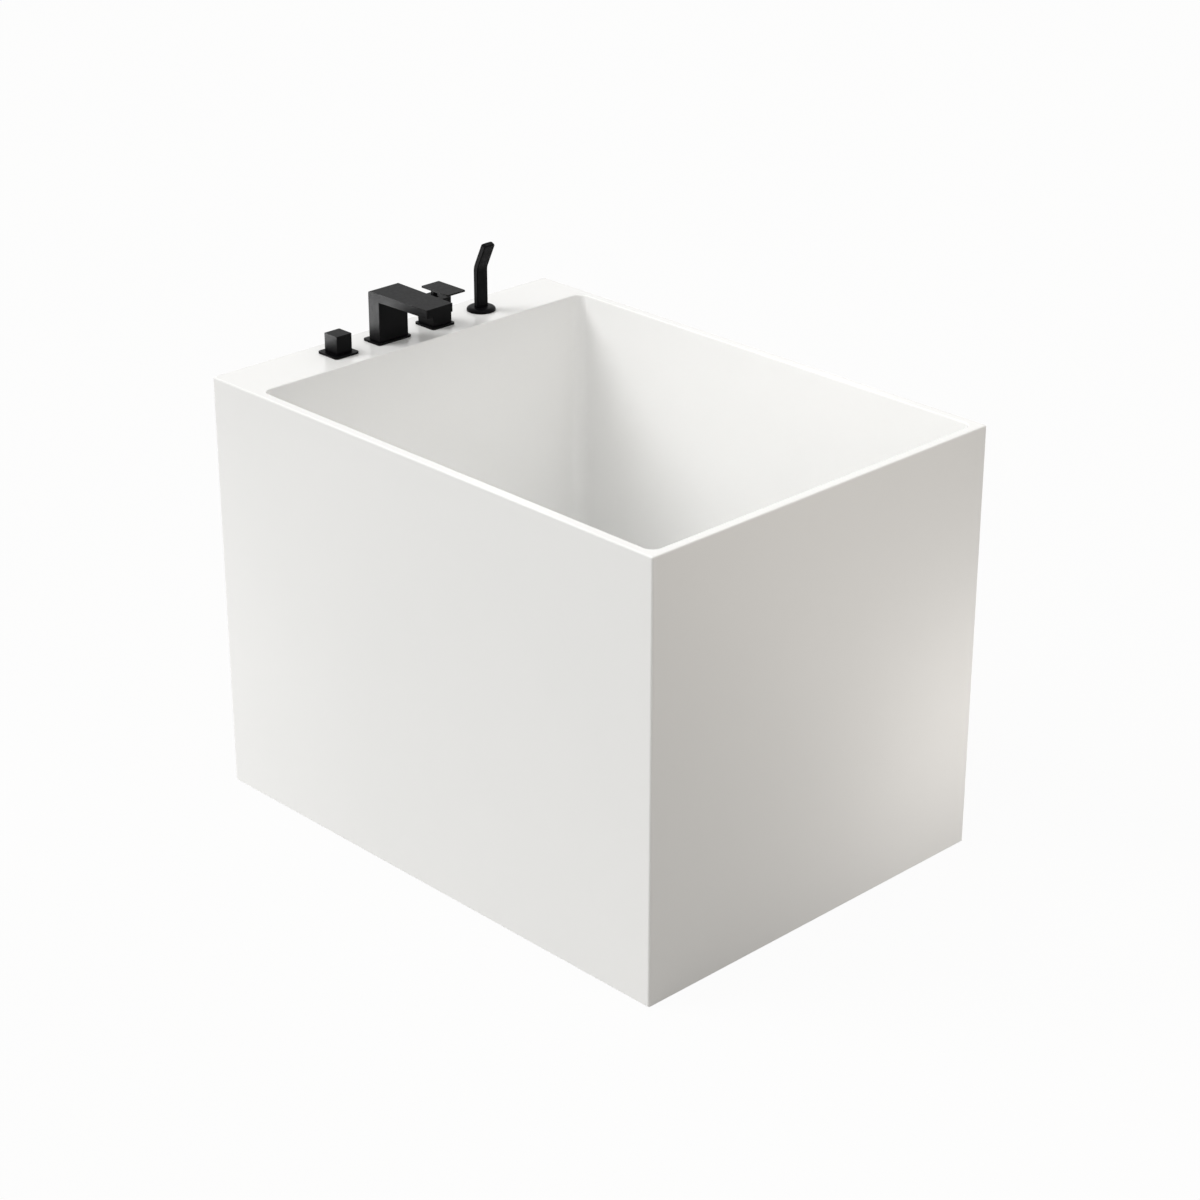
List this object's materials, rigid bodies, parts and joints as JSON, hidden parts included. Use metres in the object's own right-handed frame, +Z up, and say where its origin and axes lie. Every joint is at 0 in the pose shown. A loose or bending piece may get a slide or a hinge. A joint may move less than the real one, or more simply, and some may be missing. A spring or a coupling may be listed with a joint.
{
  "type": "freestanding bathtub with deck taps",
  "caption": "Deep rectangular soaking bathtub with a thin rim and a tap deck at one end, with cascade spout, lever mixer, diverter and pull-out hand shower.",
  "frame": {"origin": "on the floor, at the middle of the footprint", "axes": "+X along the length, away from the tap deck, +Y across the tub, +Z up"},
  "size_m": [1.1, 0.8, 0.9421],
  "materials": {
    "acrylic": "gloss white",
    "board": "raw board",
    "frame_steel": "grey powder coat",
    "zinc_steel": "bright zinc",
    "rubber": "matt",
    "black_metal": "matt black",
    "waste_plastic": "satin white",
    "brass": "machined",
    "valve_plastic": "satin",
    "spray_face": "matt black"
  },
  "bodies": {
    "tub": {"basin_shell": "acrylic", "apron_skirt": "acrylic", "floor_board": "board", "deck_board": "board", "frame_long_rails": "frame_steel", "frame_cross_rails": "frame_steel", "foot_brackets": "frame_steel", "skirt_brackets": "frame_steel", "bracket_screws": "zinc_steel", "foot_lock_nuts": "zinc_steel", "waste_flange": "black_metal", "waste_gaskets": "rubber", "waste_back_nut": "waste_plastic", "click_cartridge": "zinc_steel", "waste_tee": "waste_plastic", "trap_union_nut": "waste_plastic", "trap_dip_tube": "waste_plastic", "trap_cup": "waste_plastic", "trap_outlet_nut": "waste_plastic", "outlet_pipe": "waste_plastic", "overflow_cover": "black_metal", "overflow_gaskets": "rubber", "overflow_body": "waste_plastic", "overflow_duct": "waste_plastic", "overflow_pipe": "waste_plastic", "tap_washers": "rubber", "tap_back_nuts": "brass", "diverter_plate_cover": "black_metal", "diverter_valve": "brass", "spout_plate_cover": "black_metal", "spout_body": "black_metal", "spout_outlet": "valve_plastic", "spout_shank": "brass", "mixer_plate_cover": "black_metal", "mixer_body": "black_metal", "mixer_top_plate": "black_metal", "mixer_cartridge": "valve_plastic", "mixer_valve_block": "brass", "supply_tails": "brass", "handset_ring": "black_metal", "handset_sleeve": "brass", "link_pipes": "brass", "link_nuts": "brass"},
    "waste_plug": {"drain_plug": "black_metal", "plug_seal": "rubber"},
    "foot_tap_near": {"foot_stud_1": "zinc_steel", "foot_pad_1": "rubber"},
    "foot_tap_far": {"foot_stud_2": "zinc_steel", "foot_pad_2": "rubber"},
    "foot_end_near": {"foot_stud_3": "zinc_steel", "foot_pad_3": "rubber"},
    "foot_end_far": {"foot_stud_4": "zinc_steel", "foot_pad_4": "rubber"},
    "diverter_control": {"diverter_knob": "black_metal", "diverter_spindle": "brass"},
    "mixer_swivel": {"lever_carrier": "black_metal", "lever_pin": "zinc_steel"},
    "mixer_handle": {"mixer_lever": "black_metal"},
    "hand_shower": {"handset_body": "black_metal", "handset_spray_plate": "spray_face"}
  },
  "joints": [
    {"name": "plug_lift", "type": "slide", "parent": "tub", "child": "waste_plug", "axis": [0, 0, 1], "range_m": [0, 0.009]},
    {"name": "foot_tap_near_adjust", "type": "slide", "parent": "tub", "child": "foot_tap_near", "axis": [0, 0, -1], "range_m": [0, 0.025]},
    {"name": "foot_tap_far_adjust", "type": "slide", "parent": "tub", "child": "foot_tap_far", "axis": [0, 0, -1], "range_m": [0, 0.025]},
    {"name": "foot_end_near_adjust", "type": "slide", "parent": "tub", "child": "foot_end_near", "axis": [0, 0, -1], "range_m": [0, 0.025]},
    {"name": "foot_end_far_adjust", "type": "slide", "parent": "tub", "child": "foot_end_far", "axis": [0, 0, -1], "range_m": [0, 0.025]},
    {"name": "diverter_turn", "type": "hinge", "parent": "tub", "child": "diverter_control", "pos_m": [-0.49, -0.162, 0.82], "axis": [0, 0, 1], "range_deg": [0, 90]},
    {"name": "mixer_turn", "type": "hinge", "parent": "tub", "child": "mixer_swivel", "pos_m": [-0.49, 0.068, 0.8555], "axis": [0, 0, 1], "range_deg": [-45, 45]},
    {"name": "mixer_open", "type": "hinge", "parent": "mixer_swivel", "child": "mixer_handle", "pos_m": [-0.49, 0.068, 0.8555], "axis": [0, -1, 0], "range_deg": [0, 25]},
    {"name": "hand_shower_lift", "type": "slide", "parent": "tub", "child": "hand_shower", "axis": [0, 0, 1], "range_m": [0, 0.25]}
  ]
}
